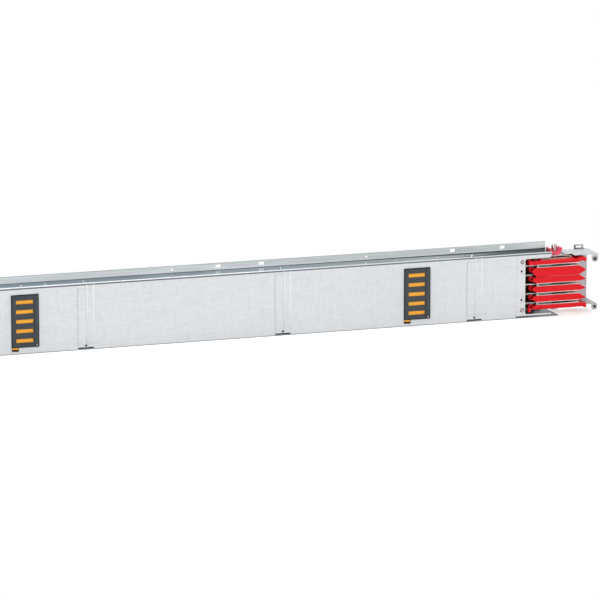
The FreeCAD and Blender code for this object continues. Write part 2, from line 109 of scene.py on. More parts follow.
class BuswayFinish(bpy.types.PropertyGroup):
    """Colours of the finishes."""
    sheet: bpy.props.FloatVectorProperty(
        name="Sheet", description="Coated steel of the casing", size=3, subtype="COLOR",
        min=0, max=1, default=srgb(223, 225, 227))
    rail: bpy.props.FloatVectorProperty(
        name="Rail", description="Bright steel of the top rail", size=3, subtype="COLOR",
        min=0, max=1, default=srgb(228, 231, 232))
    # The bars' dark colour is painted shade.
    bar: bpy.props.FloatVectorProperty(
        name="Bars", description="Aluminium of the conductors", size=3, subtype="COLOR",
        min=0, max=1, default=srgb(84, 90, 92))
    contact: bpy.props.FloatVectorProperty(
        name="Contacts", description="Silver coat of the contact plates", size=3, subtype="COLOR",
        min=0, max=1, default=srgb(222, 220, 214))
    dark: bpy.props.FloatVectorProperty(
        name="Dark moulding", description="Outlet frames", size=3, subtype="COLOR",
        min=0, max=1, default=srgb(60, 67, 71))
    orange: bpy.props.FloatVectorProperty(
        name="Orange moulding", description="Shutters of the outlets", size=3, subtype="COLOR",
        min=0, max=1, default=srgb(252, 176, 60))
    red: bpy.props.FloatVectorProperty(
        name="Red moulding", description="Insulators of the joint", size=3, subtype="COLOR",
        min=0, max=1, default=srgb(226, 10, 28))


class BuswaySizes(bpy.types.PropertyGroup):
    """Sizes of the fittings."""
    rivet_radius: bpy.props.FloatProperty(
        name="Rivet radius", description="Radius of the rivet heads on the rail",
        default=3.2 * MM, min=0.001, unit="LENGTH")
    rivet_high: bpy.props.FloatProperty(
        name="Rivet height", description="Height of the rivet heads over the rail",
        default=1.4 * MM, min=0.0002, unit="LENGTH")
    sheet_edge: bpy.props.FloatProperty(
        name="Sheet edge", description="Rounding of the cut edges of the sheet",
        default=0.25 * MM, min=0, unit="LENGTH")
    moulded_edge: bpy.props.FloatProperty(
        name="Moulded edge", description="Rounding of the moulded edges",
        default=0.6 * MM, min=0, unit="LENGTH")
    bar_edge: bpy.props.FloatProperty(
        name="Bar edge", description="Rounding of the conductor bars",
        default=0.7 * MM, min=0, unit="LENGTH")


class BuswayView(bpy.types.PropertyGroup):
    """Where the camera stands."""
    turn: bpy.props.FloatProperty(
        name="Turn", description="Angle of the camera to the left of the front", subtype="ANGLE",
        default=math.radians(18.70))
    rise: bpy.props.FloatProperty(
        name="Rise", description="Angle of the camera above the horizon", subtype="ANGLE",
        default=math.radians(11.889))
    distance: bpy.props.FloatProperty(
        name="Distance", description="Camera to the point it looks at", default=11.1135,
        min=1, unit="LENGTH")
    lens: bpy.props.FloatProperty(
        name="Lens", description="Focal length in millimetres on a 36 mm wide sensor",
        default=272.85, min=20)
    target: bpy.props.FloatVectorProperty(
        name="Target", description="Point at the middle of the picture", size=3,
        default=(0.3200, -0.0375, 0.0855), subtype="XYZ", unit="LENGTH")


class BuswayLight(bpy.types.PropertyGroup):
    """Levels of the lamps."""
    key: bpy.props.FloatProperty(
        name="Key", description="Power of the lamp in front, to the left", default=200, min=0,
        unit="POWER")
    top: bpy.props.FloatProperty(
        name="Top", description="Power of the lamp above", default=90, min=0, unit="POWER")
    side: bpy.props.FloatProperty(
        name="Side", description="Power of the lamp in front, to the right", default=85, min=0,
        unit="POWER")
    fill: bpy.props.FloatProperty(
        name="Fill", description="Level of the light from all around", default=0.36, min=0)
    mirrored: bpy.props.FloatProperty(
        name="Mirrored", description="Level of the surroundings in mirror images",
        default=0.75, min=0)


# Nodes

def feed(tree, socket, value):
    """Gives a socket a number or a colour, or links another socket to it."""
    if isinstance(value, (int, float)):
        socket.default_value = value
    elif isinstance(value, tuple):
        socket.default_value = (*value[:3], 1)
    else:
        tree.links.new(value, socket)


def maths(tree, operation, *values):
    node = tree.nodes.new("ShaderNodeMath")
    node.operation = operation
    for socket, value in zip(node.inputs, values):
        feed(tree, socket, value)
    return node.outputs[0]


def times(tree, first, *others):
    """Product of numbers and sockets."""
    for other in others:
        first = maths(tree, "MULTIPLY", first, other)
    return first


def mixed(tree, amount, first, second):
    """Colour mix of two colours or sockets."""
    node = tree.nodes.new("ShaderNodeMix")
    node.data_type = "RGBA"
    feed(tree, node.inputs["Factor"], amount)
    feed(tree, node.inputs[6], first)
    feed(tree, node.inputs[7], second)
    return node.outputs[2]


def ranged(tree, value, low, high, to_low=0.0, to_high=1.0):
    node = tree.nodes.new("ShaderNodeMapRange")
    tree.links.new(value, node.inputs["Value"])
    for label, number in (("From Min", low), ("From Max", high), ("To Min", to_low),
                          ("To Max", to_high)):
        node.inputs[label].default_value = number
    return node.outputs[0]


def band(tree, value, low, high, soft):
    """Mask that is 1 from low to high and fades out over soft on both sides."""
    return times(tree, ranged(tree, value, low - soft, low),
                 ranged(tree, value, high, high + soft, 1.0, 0.0))


def object_place(tree):
    return tree.nodes.new("ShaderNodeTexCoord").outputs["Object"]


def coordinates(tree, vector):
    parts = tree.nodes.new("ShaderNodeSeparateXYZ")
    tree.links.new(vector, parts.inputs[0])
    return parts.outputs


def measured(tree, axis, start=0.0):
    """Millimetres from a place along an axis of the object's own space."""
    along = coordinates(tree, object_place(tree))[axis]
    return times(tree, maths(tree, "SUBTRACT", along, start), 1 / MM)


def facing_up(tree):
    """Mask of the faces that look upwards."""
    normal = tree.nodes.new("ShaderNodeNewGeometry").outputs["Normal"]
    return ranged(tree, coordinates(tree, normal)["Z"], 0.6, 0.9)


def noise(tree, scale, detail, rough, stretch=(1, 1, 1)):
    """Noise over the object's own space, in repeats per metre, stretched along the axes."""
    mapping = tree.nodes.new("ShaderNodeMapping")
    mapping.inputs["Scale"].default_value = stretch
    tree.links.new(object_place(tree), mapping.inputs["Vector"])
    node = tree.nodes.new("ShaderNodeTexNoise")
    node.inputs["Detail"].default_value = detail
    node.inputs["Roughness"].default_value = rough
    feed(tree, node.inputs["Scale"], scale)
    tree.links.new(mapping.outputs[0], node.inputs["Vector"])
    return node.outputs["Fac"]


# Node groups shared by the finishes

def new_group(name, inputs, outputs):
    group = bpy.data.node_groups.new(name, "ShaderNodeTree")
    for label, value in inputs:
        socket = group.interface.new_socket(
            name=label, in_out="INPUT", socket_type="NodeSocketFloat")
        socket.default_value = value
    for label in outputs:
        group.interface.new_socket(name=label, in_out="OUTPUT", socket_type="NodeSocketFloat")
    start = group.nodes.new("NodeGroupInput").outputs
    end = group.nodes.new("NodeGroupOutput").inputs
    return group, start, end


def outer_edges_group():
    """Mask of outer edges, broken up by fine noise."""
    group, start, end = new_group("outer_edges", (("Radius", 0.001), ("Amount", 1.0)), ("Mask",))
    rounded = group.nodes.new("ShaderNodeBevel")
    rounded.samples = 6
    group.links.new(start["Radius"], rounded.inputs["Radius"])
    true = group.nodes.new("ShaderNodeNewGeometry")
    dot = group.nodes.new("ShaderNodeVectorMath")
    dot.operation = "DOT_PRODUCT"
    group.links.new(rounded.outputs[0], dot.inputs[0])
    group.links.new(true.outputs["Normal"], dot.inputs[1])
    edge = ranged(group, dot.outputs["Value"], 0.985, 0.85)
    broken = ranged(group, noise(group, 900.0, 4.0, 0.55), 0.35, 0.6, 0.35, 1.0)
    group.links.new(times(group, edge, broken, start["Amount"]), end["Mask"])
    return group


def handling_group():
    """Broad smudges and fine scuffs from handling, as a tone and a roughness mask."""
    group, start, end = new_group("handling", (("Scale", 8.0),), ("Tone", "Scuff"))
    tone = ranged(group, noise(group, start["Scale"], 4.0, 0.6), 0.35, 0.65)
    scuff = ranged(group, noise(group, 260.0, 5.0, 0.7, (1.0, 1.0, 0.12)), 0.58, 0.72)
    group.links.new(tone, end["Tone"])
    group.links.new(times(group, scuff, tone), end["Scuff"])
    return group


def drawn_metal_group():
    """Fine lines left along X by rolling or drawing, as a height and a mask."""
    group, start, end = new_group("drawn_metal", (("Fineness", 1.0),), ("Height", "Mask"))
    lines = noise(group, times(group, start["Fineness"], 420.0), 4.0, 0.65, (0.02, 1.0, 1.0))
    soft = noise(group, 60.0, 2.0, 0.5, (0.05, 1.0, 1.0))
    height = maths(group, "ADD", times(group, lines, 0.7), times(group, soft, 0.3))
    group.links.new(height, end["Height"])
    group.links.new(ranged(group, lines, 0.42, 0.62), end["Mask"])
    return group


def rolled_grain_group():
    """Fine crossed grain left in a coat by the rolls, as a height and a faint mask."""
    group, start, end = new_group("rolled_grain", (("Scale", 300.0),), ("Height", "Mask"))
    across = noise(group, start["Scale"], 3.0, 0.6, (1.0, 1.0, 0.18))
    along = noise(group, start["Scale"], 3.0, 0.6, (0.12, 1.0, 1.0))
    both = times(group, maths(group, "ADD", across, along), 0.5)
    group.links.new(both, end["Height"])
    group.links.new(ranged(group, both, 0.46, 0.62, 0.0, 0.55), end["Mask"])
    return group


def moulded_skin_group():
    """Spark-eroded skin of a moulding, with faint flow marks."""
    group, start, end = new_group("moulded_skin", (("Grain", 1800.0),), ("Height", "Flow"))
    group.links.new(noise(group, start["Grain"], 2.0, 0.5), end["Height"])
    flow = noise(group, 45.0, 2.0, 0.5, (0.35, 1.0, 1.0))
    group.links.new(ranged(group, flow, 0.4, 0.62), end["Flow"])
    return group


def placed(tree, name, **values):
    """Outputs of a shared group in the tree; the group is built the first time."""
    makers = {"outer_edges": outer_edges_group, "handling": handling_group,
              "drawn_metal": drawn_metal_group, "rolled_grain": rolled_grain_group,
              "moulded_skin": moulded_skin_group}
    node = tree.nodes.new("ShaderNodeGroup")
    node.node_tree = bpy.data.node_groups.get(name) or makers[name]()
    for label, value in values.items():
        node.inputs[label].default_value = value
    return node.outputs


# Materials

def blank(name, specular):
    """New material with its node tree and its Principled shader."""
    material = bpy.data.materials.new(name + "_finish")
    material.use_nodes = True
    shader = material.node_tree.nodes["Principled BSDF"]
    shader.inputs["Specular IOR Level"].default_value = specular
    return material, material.node_tree, shader


def dressed(tree, shader, body, rough, height, strength, deep=0.05 * MM):
    """Gives the shader its colour, roughness and relief."""
    tree.links.new(body, shader.inputs["Base Color"])
    tree.links.new(rough, shader.inputs["Roughness"])
    bump = tree.nodes.new("ShaderNodeBump")
    bump.inputs["Strength"].default_value = strength
    bump.inputs["Distance"].default_value = deep
    tree.links.new(height, bump.inputs["Height"])
    tree.links.new(bump.outputs[0], shader.inputs["Normal"])


def scaled(colour, factor):
    return tuple(min(1.0, channel * factor) for channel in colour)


def sheet_material(name, colour, edge):
    """Coated steel sheet: satin, finely mottled, with dark edges, a painted shadow under the rail's
    lip and painted highlights and shade at the ribs.
    """
    material, tree, shader = blank(name, 0.35)
    handling = placed(tree, "handling", Scale=3.0)
    woven = placed(tree, "rolled_grain", Scale=250.0)
    edge_mask = placed(tree, "outer_edges", Radius=edge, Amount=0.8)["Mask"]
    cooler = tuple(channel * factor for channel, factor in zip(colour, (0.965, 0.98, 0.985)))
    body = mixed(tree, handling["Tone"], colour, cooler)
    body = mixed(tree, woven["Mask"], body, scaled(colour, 0.84))
    body = mixed(tree, times(tree, handling["Scuff"], 0.2), body, scaled(colour, 0.82))
    # Dark cut edges: wear, and on the joint sheet, with its wider radius, painted shade.
    body = mixed(tree, times(tree, edge_mask, 0.8), body, srgb(112, 119, 122))
    outside = ranged(tree, measured(tree, "Y", front_y), 0.2, 0.6, 1.0, 0.0)
    # Painted shadow: a dark line on the plate just under the rail's lip.
    painted_lip_shadow = band(tree, measured(tree, "Z", flange_z), -5.4, -3.5, 0.5)
    body = mixed(tree, times(tree, painted_lip_shadow, outside, 0.85), body, srgb(78, 84, 88))
    half_pitch = rib_pitch / MM / 2
    place = maths(tree, "WRAP", measured(tree, "X", rib_x), half_pitch, -half_pitch)
    # Painted highlights: light lines along the edges of the ribs, fading out towards the bottom.
    painted_rib_highlights = maths(tree, "ADD", band(tree, place, 2.2, 3.6, 0.4),
                   band(tree, place, 19.0, 20.4, 0.4))
    higher = band(tree, measured(tree, "Z"), 105, 150, 90)
    body = mixed(tree, times(tree, painted_rib_highlights, outside, higher, 0.8), body, srgb(252, 253, 253))
    # Painted shade: darker lines at the steps of the ribs.
    painted_rib_shade = maths(tree, "ADD", band(tree, place, -20.6, -19.8, 0.4),
                  band(tree, place, 0.4, 1.6, 0.6))
    body = mixed(tree, times(tree, painted_rib_shade, outside, 0.35), body, srgb(150, 154, 156))
    rough = ranged(tree, noise(tree, 35.0, 4.0, 0.6), 0.35, 0.65, 0.42, 0.54)
    dressed(tree, shader, body, rough, woven["Height"], 0.12)
    return material


def rail_material(name, colour):
    """Zinc-coated steel of the rail: drawn lines, painted shade on the upward faces, under the lip,
    along the top edge, at the web's foot and towards the right end, and a painted highlight on the
    lip.
    """
    material, tree, shader = blank(name, 0.4)
    tone = placed(tree, "handling", Scale=9.0)["Tone"]
    drawn = placed(tree, "drawn_metal", Fineness=0.75)
    along, upward = measured(tree, "X"), facing_up(tree)
    behind, high = measured(tree, "Y", front_y), measured(tree, "Z", flange_z)
    body = mixed(tree, times(tree, tone, 0.6), colour, scaled(colour, 0.9))
    body = mixed(tree, times(tree, drawn["Mask"], 0.6), body, scaled(colour, 0.74))
    # Painted shade: the rail gets darker towards its right end, where the light falls off.
    body = mixed(tree, ranged(tree, along, 100, 800, 0.0, 0.7), body, scaled(colour, 0.7))
    # Painted shade: the faces that look upwards, the flange above all, get a darker blue-grey.
    flange = mixed(tree, tone, srgb(136, 156, 164), srgb(118, 138, 146))
    flange = mixed(tree, times(tree, drawn["Mask"], 0.3), flange, srgb(168, 180, 184))
    body = mixed(tree, upward, body, flange)
    # Painted highlight: a light band on the upper part of the lip at the rail's front.
    painted_lip_highlight = times(tree, ranged(tree, behind, 3, 5, 1.0, 0.0),
                       ranged(tree, high, -1.9, -1.6))
    body = mixed(tree, painted_lip_highlight, body, srgb(226, 231, 233))
    # Painted shadow: a dark band on the lower part of the lip.
    body = mixed(tree, band(tree, high, -4, -2, 0.2), body, srgb(112, 122, 126))
    # Painted shade: a darker line along the top edge of the web.
    rim = ranged(tree, measured(tree, "Z", rail_top), -1.8, -1.2, 0.0, 0.7)
    body = mixed(tree, rim, body, srgb(140, 152, 156))
    # Painted shade: a dark line in the crease where the web meets the flange, stronger towards the
    # right.
    painted_bend_shade = times(tree, band(tree, measured(tree, "Y", web_front), -3.5, 0.2, 1.0),
                 band(tree, high, -0.5, 1.0, 0.5), ranged(tree, along, -400, 800, 0.55, 0.95))
    body = mixed(tree, painted_bend_shade, body, srgb(56, 70, 74))
    tree.links.new(maths(tree, "ADD", times(tree, upward, 0.7), 0.15), shader.inputs["Metallic"])
    rough = ranged(tree, noise(tree, 50.0, 4.0, 0.6, (0.2, 1, 1)), 0.35, 0.65, 0.34, 0.5)
    polish = maths(tree, "SUBTRACT", 1.0, times(tree, upward, 0.75))
    dressed(tree, shader, body, times(tree, rough, polish), drawn["Height"], 0.08)
    return material


def metal_material(name, colour, rough_low, rough_high, grain=(1, 1, 1), stain_and_reflection=None,
                   upper=None, painted_light_and_shade=None):
    """Bare or plated metal with directional grain and, if given, stains (on the bolt a painted
    reflection), a colour for the faces that look upwards (painted light on the bars), and painted
    light and shade."""
    material, tree, shader = blank(name, 0.5)
    shader.inputs["Metallic"].default_value = 1.0
    tone = placed(tree, "handling", Scale=28.0)["Tone"]
    edge_mask = placed(tree, "outer_edges", Radius=0.6 * MM, Amount=0.8)["Mask"]
    body = mixed(tree, times(tree, tone, 0.8), colour, scaled(colour, 0.84))
    # Stains; on the bolt these patches are a painted pink reflection.
    if stain_and_reflection:
        patches = ranged(tree, noise(tree, 70.0, 5.0, 0.65), 0.48, 0.68, 0.0, 0.7)
        body = mixed(tree, patches, body, stain_and_reflection)
    if upper:
        # Painted light: the faces that look upwards get a lighter colour.
        body = mixed(tree, facing_up(tree), body, upper)
    body = mixed(tree, times(tree, edge_mask, 0.6), body, scaled(colour, 1.25))
    if painted_light_and_shade:
        body = painted_light_and_shade(tree, body, colour)
    lines = noise(tree, 650.0, 4.0, 0.6, grain)
    dressed(tree, shader, body, ranged(tree, lines, 0.35, 0.65, rough_low, rough_high), lines, 0.18)
    return material


def moulded_material(name, colour, rough, grain, gloss, edge=1.3, painted_light_and_shade=None):
    """Thermoplastic moulding with a fine skin and lighter edges, from wear and a painted highlight.
    """
    material, tree, shader = blank(name, gloss)
    skin = placed(tree, "moulded_skin", Grain=grain)
    handling = placed(tree, "handling", Scale=35.0)
    edge_mask = placed(tree, "outer_edges", Radius=0.7 * MM, Amount=0.9)["Mask"]
    lighter = tuple(min(1.0, channel * edge + 0.02) for channel in colour)
    body = mixed(tree, times(tree, skin["Flow"], 0.5), colour, scaled(colour, 0.88))
    # Lighter edges: wear and a painted highlight.
    body = mixed(tree, times(tree, edge_mask, 0.6), body, lighter)
    body = mixed(tree, times(tree, handling["Scuff"], 0.2), body, lighter)
    if painted_light_and_shade:
        body = painted_light_and_shade(tree, body, colour)
    shine = ranged(tree, handling["Tone"], 0.0, 1.0, rough - 0.05, rough + 0.08)
    dressed(tree, shader, body, shine, skin["Height"], 0.15, 0.06 * MM)
    return material


def bar_painted_highlight(tree, body, colour):
    """Painted highlight along the upper front edge of each conductor bar."""
    half_pitch = bar_pitch / MM / 2
    place = maths(tree, "WRAP", measured(tree, "Z", bar_high.z), half_pitch, -half_pitch)
    painted_edge_highlight = times(tree, band(tree, place, -1.2, 0.2, 0.3),
                   ranged(tree, measured(tree, "Y", bar_low.y), 1, 2, 1.0, 0.0))
    return mixed(tree, painted_edge_highlight, body, srgb(206, 210, 208))


def red_hollow_shade(tree, body, colour):
    """Painted shade: the hollows of the red mouldings, found by ambient occlusion, darker than
    their faces.
    """
    hollow = tree.nodes.new("ShaderNodeAmbientOcclusion")
    hollow.samples = 8
    hollow.inputs["Distance"].default_value = 12 * MM
    deep = ranged(tree, hollow.outputs["AO"], 0.22, 0.52, 0.9, 0.0)
    return mixed(tree, deep, body, scaled(colour, 0.4))


def frame_painted_shadow(number):
    """Painted shadow: a black rim round the outer edge of an outlet frame, and painted shade in a
    dark line by its strip.
    """
    low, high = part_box("outlet_frame_%d" % number)
    wide, tall = (high.x - low.x) / MM, (high.z - low.z) / MM
    rim = 1.6

    def painted_light_and_shade(tree, body, colour):
        along, up = measured(tree, "X", low.x), measured(tree, "Z", low.z)
        inside = times(tree, band(tree, along, rim, wide - rim, 0.3),
                       band(tree, up, rim, tall - rim, 0.3))
        # Painted shadow round the frame's outer edge.
        body = mixed(tree, inside, srgb(20, 22, 24), body)
        # Painted shade: a dark line by the strip.
        painted_groove_shade = band(tree, along, wide - 11.6, wide - 10.6, 0.3)
        return mixed(tree, times(tree, painted_groove_shade, 0.7), body, srgb(24, 27, 29))
    return painted_light_and_shade


def finish(name):
    """The material of that name, made the first time it is asked for."""
    known = bpy.data.materials.get(name + "_finish")
    if known:
        return known
    own = bpy.context.scene.busway_finish
    sheet, rail, bar, contact, dark, orange, red = (tuple(colour) for colour in (
        own.sheet, own.rail, own.bar, own.contact, own.dark, own.orange, own.red))
    along_x, along_y = (0.02, 1, 1), (1, 0.05, 1)
    # Sheets: colour, radius of the dark edges (wear on the cut edges; the joint sheet's wider ones
    # are painted shade)
    sheets = {"coated_sheet": (sheet, 0.9 * MM), "joint_sheet": (scaled(sheet, 0.86), 1.7 * MM)}
    # Metals: colour, least and greatest roughness, grain, stains (on the bolt a painted
    # reflection), upper faces (painted light), painted light and shade
    metals = {
        # Bars: a dark body as painted shade, lighter upper faces as painted light, and a painted
        # highlight on each upper front edge.
        "bar_aluminium": (bar, 0.3, 0.45, along_x, None, srgb(214, 216, 214), bar_painted_highlight),
        "contact_silver": (contact, 0.25, 0.4, along_x),
        "spring_steel": (srgb(206, 198, 190), 0.24, 0.38, along_y, srgb(170, 150, 132)),
        # Bottom channel: its dark grey is painted shade of the casing's inside.
        "grey_steel": (srgb(116, 126, 130), 0.35, 0.5, (0.05, 1, 1)),
        "dark_steel": (srgb(128, 131, 133), 0.3, 0.45),
        "bright_zinc": (srgb(206, 206, 204), 0.2, 0.34),
        "black_zinc": (srgb(74, 58, 60), 0.3, 0.45),
        "yellow_zinc": (srgb(116, 88, 74), 0.3, 0.45, (1, 1, 1), srgb(70, 52, 46)),
        # Bolt: its pink tint and pink patches are a painted reflection of the red insulators.
        "bolt_steel": (srgb(196, 172, 174), 0.08, 0.16, (1, 1, 1), srgb(176, 132, 136)),
    }
    # Mouldings: colour, roughness, repeats of the skin per metre, gloss, light of the edges (wear
    # and a painted highlight), painted light and shade
    mouldings = {
        "dark_moulding": (dark, 0.5, 1500.0, 0.3, 1.7),
        "frame_moulding_1": (dark, 0.5, 1500.0, 0.3, 1.7, frame_painted_shadow(1)),
        "frame_moulding_2": (dark, 0.5, 1500.0, 0.3, 1.7, frame_painted_shadow(2)),
        "black_moulding": (srgb(28, 30, 31), 0.5, 1500.0, 0.25),
        "orange_moulding": (orange, 0.45, 1900.0, 0.25),
        "pink_moulding": (srgb(236, 76, 104), 0.36, 1900.0, 0.4),
        "red_moulding": (red, 0.42, 2200.0, 0.25, 1.35, red_hollow_shade),
    }
    for maker, kinds in ((sheet_material, sheets), (rail_material, {"rail_steel": (rail,)}),
                         (metal_material, metals), (moulded_material, mouldings)):
        if name in kinds:
            return maker(name, *kinds[name])
    raise KeyError(name)


# Pieces

def node_finish(node, material):
    """Gives a node of the frame its material."""
    slots = frame["nodes"][node].data.materials
    slots.clear()
    slots.append(finish(material))


def add_piece(name, bm, body, material, replaced=()):
    """Makes the mesh a piece of the object that rides on a body."""
    mesh = bpy.data.meshes.new(name)
    bmesh.ops.recalc_face_normals(bm, faces=bm.faces)
    bm.to_mesh(mesh)
    bm.free()
    piece = bpy.data.objects.new(name, mesh)
    bpy.context.scene.collection.objects.link(piece)
    mesh.materials.append(finish(material))
    if replaced:
        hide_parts(*replaced)
    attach(piece, body)
    return piece


def node_copy(node):
    """The node's own shape with its triangles joined to whole faces."""
    bm = bmesh.new()
    bm.from_mesh(frame["nodes"][node].data)
    bmesh.ops.remove_doubles(bm, verts=bm.verts, dist=0.002 * MM)
    bmesh.ops.dissolve_limit(bm, angle_limit=math.radians(0.4), verts=bm.verts, edges=bm.edges)
    return bm


def softened(node, material, width):
    """Piece with the node's shape and rounded edges."""
    body = frame["nodes"][node]["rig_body"]
    round_edges(add_piece(node + "_finished", node_copy(node), body, material, (node,)),
                width)


def round_edges(piece, width):
    for polygon in piece.data.polygons:
        polygon.use_smooth = True
    bevel = piece.modifiers.new("edges", "BEVEL")
    bevel.width = width
    bevel.segments = 2
    bevel.limit_method = "ANGLE"
    bevel.angle_limit = math.radians(35)
    bevel.harden_normals = True
    bevel.use_clamp_overlap = True


def smoothed(piece, angle=35):
    """Smooth shading with the edges above the angle kept sharp."""
    piece.data.shade_smooth()
    piece.data.set_sharp_from_angle(angle=math.radians(angle))


# Shapes: their sizes are in millimetres, and they are made round +Z

def moved_verts(bm, made, vec):
    verts = [item for item in made if isinstance(item, bmesh.types.BMVert)]
    bmesh.ops.translate(bm, verts=verts, vec=vec)


def close_holes(bm):
    bmesh.ops.holes_fill(bm, edges=[e for e in bm.edges if e.is_boundary], sides=0)


def turned(profile, steps=32):
    """Shape of revolution; its profile points are (radius, height)."""
    part = bmesh.new()
    line = [part.verts.new((radius * MM, 0, height * MM)) for radius, height in profile]
    edges = [part.edges.new(pair) for pair in zip(line, line[1:])]
    bmesh.ops.spin(part, geom=line + edges, cent=(0, 0, 0), axis=(0, 0, 1),
                   angle=2 * math.pi, steps=steps, use_merge=True)
    bmesh.ops.remove_doubles(part, verts=part.verts, dist=0.005 * MM)
    return part


def block(wide, deep, high):
    """Box round the origin."""
    part = bmesh.new()
    bmesh.ops.create_cube(part, size=1.0)
    bmesh.ops.scale(part, vec=(wide * MM, deep * MM, high * MM), verts=part.verts)
    return part


def prism(sides, radius, high, chamfer):
    """Upright prism with the edges of both ends chamfered."""
    part = bmesh.new()
    bmesh.ops.create_circle(part, cap_ends=True, segments=sides, radius=radius * MM)
    made = bmesh.ops.extrude_face_region(part, geom=part.faces[:])["geom"]
    moved_verts(part, made, (0, 0, high * MM))
    close_holes(part)
    edges = [e for e in part.edges if abs(e.verts[0].co.z - e.verts[1].co.z) < 1e-6]
    bmesh.ops.bevel(part, geom=edges, offset=chamfer * MM, segments=2, profile=0.5,
                    affect="EDGES", material=-1)
    return part


def sink(bm, rim, corners, vec):
    """Fills a flat face between a rim and an outline, and sinks the inside of the outline."""
    outline = [bm.edges.new(pair) for pair in zip(corners, corners[1:] + corners[:1])]
    bmesh.ops.triangle_fill(bm, use_beauty=True, use_dissolve=False, edges=rim + outline)
    moved_verts(bm, bmesh.ops.extrude_edge_only(bm, edges=outline)["geom"], vec)
    close_holes(bm)


def recessed_head(radius, high, recess, deep):
    """Domed screw head on the plane z = 0 with a recess in its top."""
    part = turned([(0, 0), (radius, 0), (radius, high * 0.4), (radius * 0.93, high * 0.72),
                   (radius * 0.78, high)])
    rim = [e for e in part.edges if e.is_boundary]
    corners = [part.verts.new((x * MM, y * MM, high * MM)) for x, y in recess]
    sink(part, rim, corners, (0, 0, -deep * MM))
    return part


def threaded(radius, long, pitch, tip):
    """Threaded shank that runs down from z = 0, with a tapered tip."""
    profile = [(0, 0), (radius, 0)]
    depth = 0.0
    while depth + pitch < long - tip:
        profile += [(radius, -depth - 0.3 * pitch), (radius - 0.45 * pitch, -depth - 0.6 * pitch),
                    (radius, -depth - 0.95 * pitch)]
        depth += pitch
    profile += [(radius * 0.75, tip - long), (radius * 0.55, -long), (0, -long)]
    return turned(profile, 24)


def join_shape(bm, part, centre, axis=(0, 0, 1)):
    """Adds a shape to a mesh, turned to the axis and moved to its place in metres."""
    turn = Vector((0, 0, 1)).rotation_difference(Vector(axis)).to_matrix().to_4x4()
    bmesh.ops.recalc_face_normals(part, faces=part.faces)
    bmesh.ops.transform(part, matrix=Matrix.Translation(centre) @ turn, verts=part.verts)
    mesh = bpy.data.meshes.new("shape")
    part.to_mesh(mesh)
    part.free()
    bm.from_mesh(mesh)
    bpy.data.meshes.remove(mesh)


def placed_shape(part, centre, axis=(0, 0, 1)):
    """Mesh of one shape, turned to the axis and moved to its place in metres."""
    bm = bmesh.new()
    join_shape(bm, part, centre, axis)
    return bm


def cut_away(bm, tool, edge):
    """Rounds the edges of a shape and then cuts the tool's shape out of it."""
    things = []
    for shape in (bm, tool):
        mesh = bpy.data.meshes.new("scratch")
        shape.to_mesh(mesh)
        things.append(bpy.data.objects.new("scratch", mesh))
        bpy.context.scene.collection.objects.link(things[-1])
    tool.free()
    round_edges(things[0], edge)
    things[0].modifiers.new("cut", "BOOLEAN").object = things[1]
    depsgraph = bpy.context.evaluated_depsgraph_get()
    result = bpy.data.meshes.new_from_object(things[0].evaluated_get(depsgraph))
    bm.clear()
    bm.from_mesh(result)
    for mesh in (result, things[0].data, things[1].data):
        bpy.data.meshes.remove(mesh)


def front_face(bm, y):
    """Largest of the faces that look to the front at that place."""
    return max((f for f in bm.faces if f.normal.y < -0.99
                and abs(f.calc_center_median().y - y) < 0.1 * MM),
               key=lambda f: f.calc_area())


# Camera and stage

class BUSWAY_OT_camera(bpy.types.Operator):
    """Set up the camera in front of the section, to the left and a little above"""
    bl_idname = "busway.camera"
    bl_label = "Camera"

    def execute(self, context):
        view = context.scene.busway_view
        back = Vector((-math.sin(view.turn) * math.cos(view.rise),
                       -math.cos(view.turn) * math.cos(view.rise), math.sin(view.rise)))
        lens = bpy.data.cameras.new("camera")
        lens.sensor_width = 36
        lens.lens = view.lens
        lens.clip_end = 200
        camera = bpy.data.objects.new("camera", lens)
        camera.rotation_euler = back.to_track_quat("Z", "Y").to_euler()
        camera.location = Vector(view.target) + back * view.distance
        context.scene.collection.objects.link(camera)
        context.scene.camera = camera
        return {"FINISHED"}


